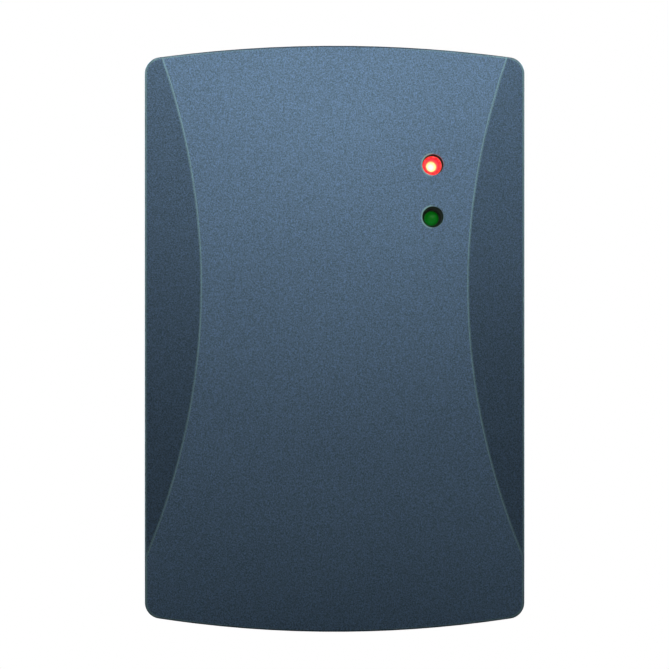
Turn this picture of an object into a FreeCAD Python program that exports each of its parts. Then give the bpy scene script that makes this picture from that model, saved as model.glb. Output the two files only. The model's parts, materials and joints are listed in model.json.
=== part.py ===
import FreeCAD, Part
import math
import os
import Sketcher
from FreeCAD import Placement, Rotation, Vector

# Wall-mounted proximity card reader. X runs to the right, Y towards the wall and Z up.
# The origin lies on the wall plane, halfway between the two screw slots of the wall plate.
# Sizes that end in "_back" or "_front" are distances out from the wall, so they lie at minus Y.

DIMENSIONS = {
    # front cover: its outline, which bows out at the top and the bottom
    "half_width": 37.5,
    "half_height": 57.9,
    "corner_radius": 3.2,
    "top_bow_radius": 263.0,
    "bottom_bow_radius": 230.0,
    # front cover: the crowned face and the two flat cheeks that slope away from it
    "depth": 16.0,
    "rim_gap": 0.4,
    "wall": 2.2,
    "crown_radius": 677.0,
    "crown_z": 10.5,
    "cheek_slope": 11.0,
    "cheek_x": 26.43,
    "face_reach": 7.0,
    "ridge_round": 1.0,
    "edge_round": 0.3,
    "heel_relief": 1.6,
    # front cover: the hollows behind the face
    "pocket_front": 4.0,
    "ledge_front": 5.8,
    "inner_corner": 1.0,
    "cavity_inset": 3.6,
    "cavity_floor": -45.5,
    "recess_floor": -46.9,
    "bay_top": -48.3,
    "rib_x": 14.0,
    "rib_pitch": 11.0,
    "rib_thickness": 1.2,
    "rib_back": 5.0,
    "rib_front": 12.2,
    "rib_low": -55.6,
    "rib_high": -47.6,
    # hinge between the top of the wall plate and the front cover
    "hinge_x": 18.0,
    "hinge_back": 2.1,
    "hinge_z": 54.4,
    "hook_half_width": 5.5,
    "hook_front": 3.6,
    "hook_low": 53.2,
    "hook_high": 56.0,
    "hook_lip_front": 1.2,
    "seat_radius": 0.9,
    "bead_radius": 0.8,
    "tongue_half_width": 4.8,
    "tongue_back": 1.6,
    "tongue_front": 2.6,
    "tongue_root": 49.5,
    "tongue_root_back": 1.0,
    # lock screw and its seat in the bottom wall of the front cover
    "lock_back": 4.0,
    "bearing_half_width": 7.0,
    "bearing_front": 8.5,
    "bearing_root": -57.0,
    "bearing_low": -55.35,
    "bearing_high": -53.35,
    "screw_slot_radius": 1.7,
    "head_recess_radius": 3.4,
    "lock_head_radius": 2.75,
    "lock_head_low": -57.75,
    "lock_head_high": -56.05,
    "lock_shank_radius": 1.5,
    "lock_shank_high": -49.55,
    "lock_drive_radius": 1.3,
    "lock_drive_depth": 1.1,
    "lock_pin_radius": 0.4,
    "washer_radius": 3.0,
    "washer_bore": 1.6,
    "washer_high": -55.55,
    "insert_bore": 1.6,
    "insert_radius": 2.1,
    # wall plate
    "plate_half_width": 34.8,
    "plate_low": -53.05,
    "plate_high": 52.3,
    "plate_corner": 3.0,
    "plate_thickness": 2.0,
    "rim_front": 3.0,
    "rim_width": 1.2,
    "wall_slot_radius": 2.2,
    "wall_slot_z": 41.65,
    "wall_slot_run": 1.8,
    "box_slot_x": 30.0,
    "box_slot_run": 0.8,
    "opening_half_width": 13.0,
    "opening_low": -24.0,
    "opening_high": 10.0,
    "opening_corner": 5.0,
    "spacer_x": 24.0,
    "spacer_z": 44.0,
    "spacer_radius": 2.5,
    "spacer_front": 3.8,
    "tab_half_width": 6.0,
    "tab_front": 7.0,
    "tab_high": -49.05,
    "tab_foot_half_width": 8.5,
    "tab_foot_front": 3.4,
    "mark_radius": 2.6,
    "mark_front": 2.4,
    "mark_z": 30.0,
    # back cover, its gasket, screws, grommet and label
    "flange_inset": 2.5,
    "flange_floor": -46.6,
    "flange_front": 5.0,
    "step_inset": 3.9,
    "step_floor": -45.2,
    "gasket_outer_inset": 2.4,
    "gasket_inner_inset": 3.5,
    "gasket_outer_floor": -46.7,
    "gasket_inner_floor": -45.6,
    "relief_radius": 3.6,
    "relief_front": 4.9,
    "boss_x": 31.0,
    "boss_high_z": 49.6,
    "boss_low_z": -41.5,
    "boss_radius": 3.2,
    "boss_front": 13.4,
    "boss_pilot_radius": 1.1,
    "boss_pilot_front": 12.6,
    "cover_screw_head_radius": 2.5,
    "cover_screw_hole_radius": 1.45,
    "cover_screw_radius": 1.05,
    "cover_screw_front": 11.4,
    "cover_screw_tip_front": 12.2,
    "cross_length": 1.3,
    "cross_half_width": 0.25,
    "cross_depth": 0.9,
    "cable_z": -14.0,
    "grommet_bore": 2.6,
    "grommet_neck_radius": 4.5,
    "grommet_flange_radius": 5.75,
    "grommet_front": 7.0,
    "grommet_flange_back": 2.7,
    "grommet_sleeve_root": 4.6,
    "grommet_sleeve_end": 3.8,
    "grommet_back": 0.6,
    "label_half_width": 22.0,
    "label_low": 15.0,
    "label_high": 37.0,
    "label_back": 3.85,
    # circuit board and its screws
    "board_half_width": 27.0,
    "board_low": -40.0,
    "board_high": 46.0,
    "board_corner": 2.0,
    "board_back": 7.2,
    "board_front": 8.8,
    "board_cable_radius": 5.0,
    "post_x": 23.5,
    "post_high_z": 42.5,
    "post_low_z": -36.5,
    "post_radius": 2.5,
    "post_front": 13.6,
    "post_pilot_radius": 1.0,
    "post_pilot_front": 12.6,
    "board_hole_radius": 1.2,
    "board_screw_head_radius": 1.9,
    "board_screw_back": 6.0,
    "board_screw_radius": 0.95,
    "board_screw_front": 12.2,
    # antenna coil on its former
    "coil_half_width": 25.5,
    "coil_low": -32.5,
    "coil_high": 19.5,
    "coil_corner": 10.0,
    "former_width": 3.0,
    "former_web": 0.8,
    "former_front": 12.2,
    "winding_front": 11.7,
    "winding_back": 9.5,
    "winding_inset": 0.3,
    "coil_pin_x": 4.0,
    "coil_pin_z": -31.0,
    # leads that pass through the board
    "lead_radius": 0.25,
    "lead_hole_radius": 0.35,
    "lead_back": 6.6,
    # indicator lights
    "light_x": 19.4,
    "red_z": 34.4,
    "green_z": 24.1,
    "light_hole_radius": 2.1,
    "collar_radius": 3.3,
    "collar_back": 12.0,
    "collar_front": 13.9,
    "red_shift_x": -0.12,
    "red_shift_z": -0.14,
    "green_shift_x": -0.26,
    "green_shift_z": -0.3,
    "lens_radius": 1.45,
    "lens_dome_front": 13.15,
    "lens_flange_radius": 1.9,
    "lens_flange_front": 10.3,
    "lens_back": 9.4,
    "light_lead_pitch": 1.27,
    # sounder
    "buzzer_x": -13.0,
    "buzzer_z": 33.0,
    "buzzer_radius": 6.0,
    "buzzer_front": 12.8,
    "buzzer_port_radius": 0.9,
    "buzzer_port_depth": 1.6,
    "buzzer_lead_pitch": 3.25,
    # chips with gull-wing leads
    "controller_x": -10.6,
    "controller_z": 7.8,
    "controller_length": 12.8,
    "controller_width": 7.5,
    "controller_rise": 2.35,
    "interface_x": 6.0,
    "interface_z": 9.0,
    "interface_length": 9.9,
    "interface_width": 3.9,
    "interface_rise": 1.5,
    "chip_standoff": 0.15,
    "chip_lead_pitch": 1.27,
    "chip_lead_width": 0.4,
    "chip_lead_thickness": 0.25,
    "chip_lead_reach": 1.2,
    "transistor_x": 14.5,
    "transistor_pitch": 4.2,
    "transistor_z": -5.0,
    "transistor_length": 2.9,
    "transistor_width": 1.3,
    "transistor_rise": 1.1,
    # other parts on the board
    "crystal_x": 16.0,
    "crystal_z": 8.0,
    "crystal_half_width": 2.3,
    "crystal_half_length": 5.5,
    "crystal_rise": 3.5,
    "crystal_lead_pitch": 2.44,
    "regulator_x": -13.7,
    "regulator_z": -17.0,
    "regulator_length": 6.5,
    "regulator_width": 6.1,
    "regulator_rise": 2.3,
    "regulator_tab_length": 5.2,
    "regulator_tab_width": 1.1,
    "regulator_tab_thickness": 0.5,
    "storage_x": 12.0,
    "storage_z": -13.0,
    "storage_pitch": 9.0,
    "storage_base": 6.6,
    "storage_base_rise": 0.8,
    "storage_radius": 3.15,
    "storage_rise": 3.9,
    "trimmer_z": -23.5,
    "trimmer_length": 4.5,
    "trimmer_width": 4.0,
    "trimmer_rise": 1.6,
    "trimmer_rotor_radius": 1.6,
    "trimmer_rotor_rise": 2.1,
    "trimmer_slot_depth": 0.4,
    "trimmer_slot_width": 0.5,
    "diode_z": -10.0,
    "diode_length": 4.3,
    "diode_width": 2.6,
    "diode_rise": 2.2,
    "fuse_z": -24.5,
    "fuse_length": 4.5,
    "fuse_width": 3.2,
    "fuse_rise": 0.8,
    "power_x": -13.5,
    "chip_part_length": 2.0,
    "chip_part_width": 1.25,
    "resistor_rise": 0.5,
    "resistor_x": -14.0,
    "resistor_pitch": 4.0,
    "resistor_z": 0.3,
    "capacitor_rise": 0.9,
    "capacitor_x": -12.0,
    "capacitor_pitch": 4.0,
    "capacitor_z": -28.0,
    "header_z": -4.0,
    "header_half_length": 11.0,
    "header_half_width": 2.2,
    "header_rise": 4.4,
    "header_pitch": 2.0,
    "header_first_x": -9.0,
    "header_port_half": 0.6,
    "header_port_depth": 2.6,
    "header_port_rise": 2.2,
    "header_key_half": 0.35,
    # overshoot of cutting tools past the faces they cut
    "margin": 1.0,
}

SIDES = (-1, 1)
RIBS_PER_SIDE = 2
CONTROLLER_LEADS_PER_SIDE = 10
INTERFACE_LEADS_PER_SIDE = 7
TRANSISTORS = 2
STORAGE_CAPACITORS = 2
RESISTORS = 8
CAPACITORS = 7
HEADER_WAYS = 10
DRIVE_SIDES = 6
MARK_SIDES = 3

RIGHT_ANGLE = 90
HALF_TURN = 180
FULL_TURN = 360
HEEL_ANGLE = 45

START, END, CENTRE = 1, 2, 3
SKETCH_ORIGIN = (-1, 1)
SKETCH_Y_AXIS = -2
TURNS = {
    "x": Rotation(Vector(0, 1, 0), RIGHT_ANGLE),
    "y": Rotation(Vector(1, 0, 0), -RIGHT_ANGLE),
    "z": Rotation(),
}

doc = FreeCAD.newDocument("card_reader")
sheet = doc.addObject("Spreadsheet::Sheet", "Dimensions")
for row, (alias, size) in enumerate(DIMENSIONS.items(), 1):
    sheet.set(f"A{row}", alias)
    sheet.set(f"B{row}", str(size))
    sheet.setAlias(f"B{row}", alias)
doc.recompute()

subparts = []


# ---------------------------------------------------------------- bindings

def value(expression):
    """The present value of an expression, in which $name is a cell of the sheet."""
    return float(sheet.evalExpression(expression.replace("$", "")))


def bind(item, prop, expression):
    """Bind a property to an expression, in which $name is a cell of the sheet."""
    item.setExpression(prop, expression.replace("$", "Dimensions."))


def publish(node, item):
    """Make an object a sub-part: its label names its file."""
    item.Label = node
    subparts.append(item)


# ---------------------------------------------------------------- primitives and booleans

def box(name, x, y, z):
    """A block between the low and high expressions given for each axis."""
    item = doc.addObject("Part::Box", name)
    for prop, letter, (low, high) in zip(("Length", "Width", "Height"), "xyz", (x, y, z)):
        bind(item, prop, f"({high}) - ({low})")
        bind(item, f"Placement.Base.{letter}", low)
    return item


def stand(item, axis, low, at):
    """Turn a primitive's own Z onto an axis, from low, through the other two coordinates."""
    item.Placement = Placement(Vector(), TURNS[axis])
    spots = list(at)
    spots.insert("xyz".index(axis), low)
    for letter, spot in zip("xyz", spots):
        bind(item, f"Placement.Base.{letter}", spot)
    return item


def rod(name, axis, radius, low, high, at):
    """A cylinder along an axis, from low to high."""
    item = doc.addObject("Part::Cylinder", name)
    bind(item, "Radius", radius)
    bind(item, "Height", f"({high}) - ({low})")
    return stand(item, axis, low, at)


def taper(name, axis, low_radius, high_radius, low, high, at):
    """A cone frustum along an axis, from low to high."""
    item = doc.addObject("Part::Cone", name)
    bind(item, "Radius1", low_radius)
    bind(item, "Radius2", high_radius)
    bind(item, "Height", f"({high}) - ({low})")
    return stand(item, axis, low, at)


def prism(name, sides, radius, axis, low, high, at):
    """A prism whose end is a regular polygon, given by the circle through its corners."""
    item = doc.addObject("Part::Prism", name)
    item.Polygon = sides
    bind(item, "Circumradius", radius)
    bind(item, "Height", f"({high}) - ({low})")
    return stand(item, axis, low, at)


def joined(name, *pieces):
    item = doc.addObject("Part::MultiFuse", name)
    item.Shapes = list(pieces)
    item.Refine = True
    return item


def shared(name, first, second):
    item = doc.addObject("Part::Common", name)
    item.Base = first
    item.Tool = second
    return item


def cut(name, base, *tools):
    item = doc.addObject("Part::Cut", name)
    item.Base = base
    item.Tool = tools[0] if len(tools) == 1 else joined(f"{name}_tools", *tools)
    item.Refine = True
    return item


def group(name, pieces):
    """Separate solids kept together as one sub-part."""
    item = doc.addObject("Part::Compound", name)
    item.Links = list(pieces)
    return item


def corners(x, *heights):
    """The spots at plus and minus x for each height."""
    return [(f"{side} * ({x})", height) for height in heights for side in SIDES]


# ---------------------------------------------------------------- sketches

def sketch_on(body, role, offset):
    """A sketch on an origin plane of the body, moved along the plane's normal."""
    plane = next(item for item in body.Origin.OriginFeatures if item.Role == role)
    sketch = body.newObject("Sketcher::SketchObject", f"{body.Name}_sketch")
    sketch.AttachmentSupport = [(plane, "")]
    sketch.MapMode = "FlatFace"
    bind(sketch, "AttachmentOffset.Base.z", offset)
    return sketch


def facing_sketch(body, front):
    """A sketch facing the reader's front: its axes are X and Z, and it lies `front` off the wall."""
    return sketch_on(body, "XZ_Plane", front)


def measure(sketch, kind, *where, size):
    """A dimension of a sketch, bound to an expression."""
    index = sketch.addConstraint(Sketcher.Constraint(kind, *where, value(size)))
    bind(sketch, f"Constraints[{index}]", size)


def draw_arc(sketch, x, z, radius, start, end):
    circle = Part.Circle(Vector(x, z, 0), Vector(0, 0, 1), radius)
    return sketch.addGeometry(Part.ArcOfCircle(circle, start, end), False)


def draw_line(sketch, x0, z0, x1, z1):
    return sketch.addGeometry(Part.LineSegment(Vector(x0, z0, 0), Vector(x1, z1, 0)), False)


def close_ring(sketch, kind, ring):
    for here, following in zip(ring, ring[1:] + ring[:1]):
        sketch.addConstraint(Sketcher.Constraint(kind, here, END, following, START))


def draw_polygon(sketch, spots):
    """A closed ring of straight lines between corners that are given by expressions."""
    places = [(value(x), value(y)) for x, y in spots]
    lines = [draw_line(sketch, *here, *there) for here, there in zip(places, places[1:] + places[:1])]
    close_ring(sketch, "Coincident", lines)
    for line, (x, y) in zip(lines, spots):
        measure(sketch, "DistanceX", *SKETCH_ORIGIN, line, START, size=x)
        measure(sketch, "DistanceY", *SKETCH_ORIGIN, line, START, size=y)


def draw_outline(sketch, inset, corner, floor=None):
    """The cover's outline drawn in by an inset; with a floor, a level line replaces its bottom bow."""
    side = value(f"$half_width - ({inset})")
    turn = value(corner)
    top_centre = "$half_height - $top_bow_radius"
    top_radius = f"$top_bow_radius - ({inset})"
    low_centre = "$bottom_bow_radius - $half_height"
    low_radius = f"$bottom_bow_radius - ({inset})"
    top_angle = math.acos((side - turn) / (value(top_radius) - turn))
    top_corner = value(top_centre) + (value(top_radius) - turn) * math.sin(top_angle)
    if floor:
        low_angle = math.pi / 2
        low_corner = value(floor) + turn
        bottom = draw_line(sketch, turn - side, value(floor), side - turn, value(floor))
    else:
        low_angle = math.acos((side - turn) / (value(low_radius) - turn))
        low_corner = value(low_centre) - (value(low_radius) - turn) * math.sin(low_angle)
        bottom = draw_arc(sketch, 0, value(low_centre), value(low_radius),
                          math.pi + low_angle, 2 * math.pi - low_angle)
    top = draw_arc(sketch, 0, value(top_centre), value(top_radius), top_angle, math.pi - top_angle)
    top_left = draw_arc(sketch, turn - side, top_corner, turn, math.pi - top_angle, math.pi)
    left = draw_line(sketch, -side, top_corner, -side, low_corner)
    low_left = draw_arc(sketch, turn - side, low_corner, turn, math.pi, math.pi + low_angle)
    low_right = draw_arc(sketch, side - turn, low_corner, turn, 2 * math.pi - low_angle, 2 * math.pi)
    right = draw_line(sketch, side, low_corner, side, top_corner)
    top_right = draw_arc(sketch, side - turn, top_corner, turn, 0, top_angle)
    close_ring(sketch, "Tangent", [top, top_left, left, low_left, bottom, low_right, right, top_right])
    for rounding in (top_left, low_left, low_right, top_right):
        measure(sketch, "Radius", rounding, size=corner)
    for line, sign in ((left, -1), (right, 1)):
        sketch.addConstraint(Sketcher.Constraint("Vertical", line))
        measure(sketch, "DistanceX", *SKETCH_ORIGIN, line, START,
                size=f"{sign} * ($half_width - ({inset}))")
    bows = [(top, top_centre, top_radius)]
    if floor:
        sketch.addConstraint(Sketcher.Constraint("Horizontal", bottom))
        measure(sketch, "DistanceY", *SKETCH_ORIGIN, bottom, START, size=floor)
    else:
        bows.append((bottom, low_centre, low_radius))
    for bow, centre, radius in bows:
        sketch.addConstraint(Sketcher.Constraint("PointOnObject", bow, CENTRE, SKETCH_Y_AXIS))
        measure(sketch, "DistanceY", *SKETCH_ORIGIN, bow, CENTRE, size=centre)
        measure(sketch, "Radius", bow, size=radius)


def draw_rounded(sketch, half_width, low, high, corner):
    """A rectangle with round corners, centred on X."""
    side, base, top, turn = (value(size) for size in (half_width, low, high, corner))
    quarter = math.pi / 2
    lines = [
        draw_line(sketch, side - turn, top, turn - side, top),
        draw_line(sketch, -side, top - turn, -side, base + turn),
        draw_line(sketch, turn - side, base, side - turn, base),
        draw_line(sketch, side, base + turn, side, top - turn),
    ]
    centres = [(turn - side, top - turn), (turn - side, base + turn),
               (side - turn, base + turn), (side - turn, top - turn)]
    roundings = [
        draw_arc(sketch, x, z, turn, (index + 1) * quarter, (index + 2) * quarter)
        for index, (x, z) in enumerate(centres)
    ]
    close_ring(sketch, "Tangent", [item for pair in zip(lines, roundings) for item in pair])
    for kind, line in zip(("Horizontal", "Vertical") * 2, lines):
        sketch.addConstraint(Sketcher.Constraint(kind, line))
    for rounding in roundings:
        measure(sketch, "Radius", rounding, size=corner)
    ceiling, left, floor, right = lines
    measure(sketch, "DistanceX", *SKETCH_ORIGIN, left, START, size=f"-({half_width})")
    measure(sketch, "DistanceX", *SKETCH_ORIGIN, right, START, size=half_width)
    measure(sketch, "DistanceY", *SKETCH_ORIGIN, floor, START, size=low)
    measure(sketch, "DistanceY", *SKETCH_ORIGIN, ceiling, START, size=high)


def pad(body, sketch, length):
    """Pad a facing sketch forward, away from the wall."""
    feature = body.newObject("PartDesign::Pad", f"{body.Name}_pad")
    feature.Profile = sketch
    bind(feature, "Length", length)
    return feature


def outline_block(name, back, front, *rings):
    """A pad of the cover's outline; each ring is an inset, a corner and a floor or None."""
    body = doc.addObject("PartDesign::Body", name)
    sketch = facing_sketch(body, back)
    for inset, corner, floor in rings:
        draw_outline(sketch, inset, corner, floor)
    pad(body, sketch, f"({front}) - ({back})")
    return body


def rounded_block(name, back, front, *rings):
    """A pad of rounded rectangles, where a second one inside the first makes a frame."""
    body = doc.addObject("PartDesign::Body", name)
    sketch = facing_sketch(body, back)
    for ring in rings:
        draw_rounded(sketch, *ring)
    pad(body, sketch, f"({front}) - ({back})")
    return body


def turned(name, profile, turn=Rotation()):
    """A body turned about its own Y axis from a profile of (radius, height) corners."""
    body = doc.addObject("PartDesign::Body", name)
    sketch = sketch_on(body, "XY_Plane", "0")
    draw_polygon(sketch, profile)
    feature = body.newObject("PartDesign::Revolution", f"{body.Name}_revolution")
    feature.Profile = sketch
    feature.ReferenceAxis = (sketch, ["V_Axis"])
    feature.Angle = FULL_TURN
    body.Placement = Placement(Vector(), turn)
    return body


# ---------------------------------------------------------------- front cover

def cut_crown(body, sink):
    """Cut away what lies in front of the crowned face, which is sunk below the outer face."""
    sketch = sketch_on(body, "YZ_Plane", "0")
    radius = value("$crown_radius")
    middle = value("$crown_z")
    centre = f"$crown_radius - $depth + ({sink})"
    reach = value("$half_height + $margin")
    front = value("-$depth - $margin")
    low_swing = math.asin((-reach - middle) / radius)
    high_swing = math.asin((reach - middle) / radius)
    low_edge = value(centre) - radius * math.cos(low_swing)
    high_edge = value(centre) - radius * math.cos(high_swing)
    face = draw_arc(sketch, value(centre), middle, radius, math.pi - high_swing, math.pi - low_swing)
    low = draw_line(sketch, low_edge, -reach, front, -reach)
    fore = draw_line(sketch, front, -reach, front, reach)
    high = draw_line(sketch, front, reach, high_edge, reach)
    close_ring(sketch, "Coincident", [face, low, fore, high])
    for kind, line in (("Horizontal", low), ("Vertical", fore), ("Horizontal", high)):
        sketch.addConstraint(Sketcher.Constraint(kind, line))
    measure(sketch, "Radius", face, size="$crown_radius")
    measure(sketch, "DistanceX", *SKETCH_ORIGIN, face, CENTRE, size=centre)
    measure(sketch, "DistanceY", *SKETCH_ORIGIN, face, CENTRE, size="$crown_z")
    measure(sketch, "DistanceX", *SKETCH_ORIGIN, fore, START, size="-$depth - $margin")
    measure(sketch, "DistanceY", *SKETCH_ORIGIN, fore, START, size="-$half_height - $margin")
    measure(sketch, "DistanceY", *SKETCH_ORIGIN, fore, END, size="$half_height + $margin")
    feature = body.newObject("PartDesign::Pocket", f"{body.Name}_crown")
    feature.Profile = sketch
    feature.Midplane = True
    bind(feature, "Length", "2 * ($half_width + $margin)")


def cut_cheeks(body, sink):
    """Slice both sides of the face along planes that slope towards the wall."""
    sketch = sketch_on(body, "XY_Plane", "0")
    inner, outer = "$cheek_x - $margin", "$half_width + $margin"
    for side in SIDES:
        slopes = [(f"{side} * ({x})", f"-$depth + ({sink}) + (({x}) - $cheek_x) * tan($cheek_slope * 1deg)")
                  for x in (inner, outer)]
        fronts = [(f"{side} * ({x})", "-$depth - $face_reach") for x in (outer, inner)]
        draw_polygon(sketch, slopes + fronts)
    feature = body.newObject("PartDesign::Pocket", f"{body.Name}_cheeks")
    feature.Profile = sketch
    feature.Midplane = True
    bind(feature, "Length", "2 * ($half_height + $margin)")


def crowned_block(name, back, sink, inset, corner, floor=None):
    """A block with the cover's outline and its crowned, cheeked face, sunk below the outer one."""
    body = outline_block(name, back, "$depth", (inset, corner, floor))
    cut_crown(body, sink)
    cut_cheeks(body, sink)
    return body


def is_ridge(edge):
    """A long upright edge that isn't on the cover's sides, so it lies between the crown and a cheek."""
    upright = edge.BoundBox.ZLength > value("$half_height")
    return upright and abs(edge.CenterOfMass.x) < value("$half_width - $margin")


def is_rim(edge):
    """An edge between the face and the cover's sides."""
    return edge.BoundBox.YMax < value("-$depth + $face_reach") and not is_ridge(edge)


def round_edges(body, radius, wanted):
    """Round those edges of a body that a test picks."""
    doc.recompute()
    names = [f"Edge{number}" for number, edge in enumerate(body.Shape.Edges, 1) if wanted(edge)]
    tip = body.Tip
    feature = body.newObject("PartDesign::Fillet", f"{body.Name}_rounds")
    feature.Base = (tip, names)
    bind(feature, "Radius", radius)


def heel_wedge():
    """The relief along the top rear edge that lets the cover tilt without touching the wall."""
    wedge = doc.addObject("Part::Box", "heel_wedge")
    wedge.Placement = Placement(Vector(), Rotation(Vector(1, 0, 0), HEEL_ANGLE))
    bind(wedge, "Length", "2 * ($half_width + $margin)")
    bind(wedge, "Width", "2 * $heel_relief + $margin")
    bind(wedge, "Height", "2 * ($heel_relief + $margin)")
    bind(wedge, "Placement.Base.x", "-$half_width - $margin")
    bind(wedge, "Placement.Base.y", "-$rim_gap + $margin")
    bind(wedge, "Placement.Base.z", "$half_height - $heel_relief - $margin")
    return wedge


def lock_bay():
    """The open bay below the sealed cavity, where the lock tab of the wall plate reaches in."""
    block = crowned_block("bay_block", "0", "$wall", "$wall", "$inner_corner")
    below = box("bay_limit", ("-$half_width", "$half_width"), ("-$depth", "0"),
                ("-$half_height", "$bay_top"))
    return shared("lock_bay", block, below)


def lights():
    return [("$light_x", "$red_z"), ("$light_x", "$green_z")]


def cover_screw_spots():
    return corners("$boss_x", "$boss_high_z", "$boss_low_z")


def board_screw_spots():
    return corners("$post_x", "$post_high_z", "$post_low_z")


def rods_back(name, radius, front, back, spots):
    """Cylinders that run from `front` to `back` off the wall at each spot."""
    return [rod(name, "y", radius, f"-({front})", f"-({back})", spot) for spot in spots]


def hook_blocks():
    pieces = []
    for side in SIDES:
        middle = f"{side} * $hinge_x"
        pieces.append(box("hook", (f"{middle} - $hook_half_width", f"{middle} + $hook_half_width"),
                          ("-$hook_front", "-$rim_gap"), ("$hook_low", "$hook_high")))
    return pieces


def hook_slots():
    """Under each hook: the round seat of the tongue's bead and the slot that the tongue enters by."""
    tools = []
    for side in SIDES:
        low = f"{side} * $hinge_x - $hook_half_width - $margin / 2"
        high = f"{side} * $hinge_x + $hook_half_width + $margin / 2"
        tools.append(rod("hook_seat", "x", "$seat_radius", low, high, ("-$hinge_back", "$hinge_z")))
        tools.append(box("hook_slot", (low, high), ("-$hook_front - $margin / 10", "-$hook_lip_front"),
                         ("$hook_low - $margin", "$hinge_z")))
    return tools


def lock_screw_slots():
    """Slots open to the rear: a narrow one for the shank and a wide one for the head and washer."""
    tools = []
    for name, radius, top in (("shank_slot", "$screw_slot_radius", "$bearing_high + $margin"),
                              ("head_slot", "$head_recess_radius", "$bearing_low")):
        low = "-$half_height - $margin"
        tools.append(rod(name, "z", radius, low, top, ("0", "-$lock_back")))
        tools.append(box(name, (f"-({radius})", radius), ("-$lock_back", "0"), (low, top)))
    return tools


def bay_ribs():
    pieces = []
    for side in SIDES:
        for number in range(RIBS_PER_SIDE):
            middle = f"{side} * ($rib_x + {number} * $rib_pitch)"
            pieces.append(box("rib", (f"{middle} - $rib_thickness / 2", f"{middle} + $rib_thickness / 2"),
                              ("-$rib_front", "-$rib_back"), ("$rib_low", "$rib_high")))
    return pieces


def build_front_cover():
    outer = crowned_block("cover_block", "$rim_gap", "0", "0", "$corner_radius")
    round_edges(outer, "$ridge_round", is_ridge)
    round_edges(outer, "$edge_round", is_rim)
    pocket = outline_block("plate_pocket", "0", "$pocket_front", ("$wall", "$inner_corner", None))
    recess = outline_block("back_recess", "0", "$ledge_front",
                           ("$wall", "$inner_corner", "$recess_floor"))
    cavity = crowned_block("cavity", "0", "$wall", "$cavity_inset", "$inner_corner", "$cavity_floor")
    shell = cut("shell", outer, pocket, recess, cavity, lock_bay())
    bearing = box("bearing", ("-$bearing_half_width", "$bearing_half_width"),
                  ("-$bearing_front", "-$rim_gap"), ("$bearing_root", "$bearing_high"))
    furnished = joined(
        "furnished_shell", shell, bearing, *hook_blocks(), *bay_ribs(),
        *rods_back("screw_boss", "$boss_radius", "$boss_front", "$ledge_front", cover_screw_spots()),
        *rods_back("board_post", "$post_radius", "$post_front", "$board_front", board_screw_spots()),
        *rods_back("light_collar", "$collar_radius", "$collar_front", "$collar_back", lights()))
    publish("front_cover", cut(
        "front_cover", furnished, heel_wedge(), *hook_slots(), *lock_screw_slots(),
        *rods_back("boss_pilot", "$boss_pilot_radius", "$boss_pilot_front", "$ledge_front - $margin",
                   cover_screw_spots()),
        *rods_back("post_pilot", "$post_pilot_radius", "$post_pilot_front", "$board_front - $margin",
                   board_screw_spots()),
        *rods_back("light_hole", "$light_hole_radius", "$depth + $margin", "$collar_back - $margin",
                   lights())))


# ---------------------------------------------------------------- wall plate and lock

def slot_tools(name, radius, run, x, z, along):
    """A round-ended slot through the wall plate; its centres lie `run` either side of the middle."""
    back, front = "$margin", "-$rim_front - $margin"
    shift_x, shift_z = (run, "0") if along == "x" else ("0", run)
    ends = [rod(name, "y", radius, front, back,
                (f"{x} + {sign} * ({shift_x})", f"{z} + {sign} * ({shift_z})")) for sign in SIDES]
    half_x, half_z = (run, radius) if along == "x" else (radius, run)
    middle = box(name, (f"{x} - {half_x}", f"{x} + {half_x}"), (front, back),
                 (f"{z} - {half_z}", f"{z} + {half_z}"))
    return [*ends, middle]


def hinge_tongues():
    """Two tongues at the top of the plate, each ending in the round bead that the cover hooks onto."""
    pieces = []
    for side in SIDES:
        low = f"{side} * $hinge_x - $tongue_half_width"
        high = f"{side} * $hinge_x + $tongue_half_width"
        pieces.append(box("tongue", (low, high), ("-$tongue_front", "-$tongue_back"),
                          ("$tongue_root", "$hinge_z")))
        pieces.append(box("tongue_root", (low, high), ("-$tongue_front", "-$tongue_root_back"),
                          ("$tongue_root", "$plate_high")))
        pieces.append(rod("bead", "x", "$bead_radius", low, high, ("-$hinge_back", "$hinge_z")))
    return pieces


def lock_tab():
    tab = box("tab", ("-$tab_half_width", "$tab_half_width"), ("-$tab_front", "0"),
              ("$plate_low", "$tab_high"))
    foot = box("tab_foot", ("-$tab_foot_half_width", "$tab_foot_half_width"),
               ("-$tab_foot_front", "0"), ("$plate_low", "$tab_high"))
    return [tab, foot]


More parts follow.
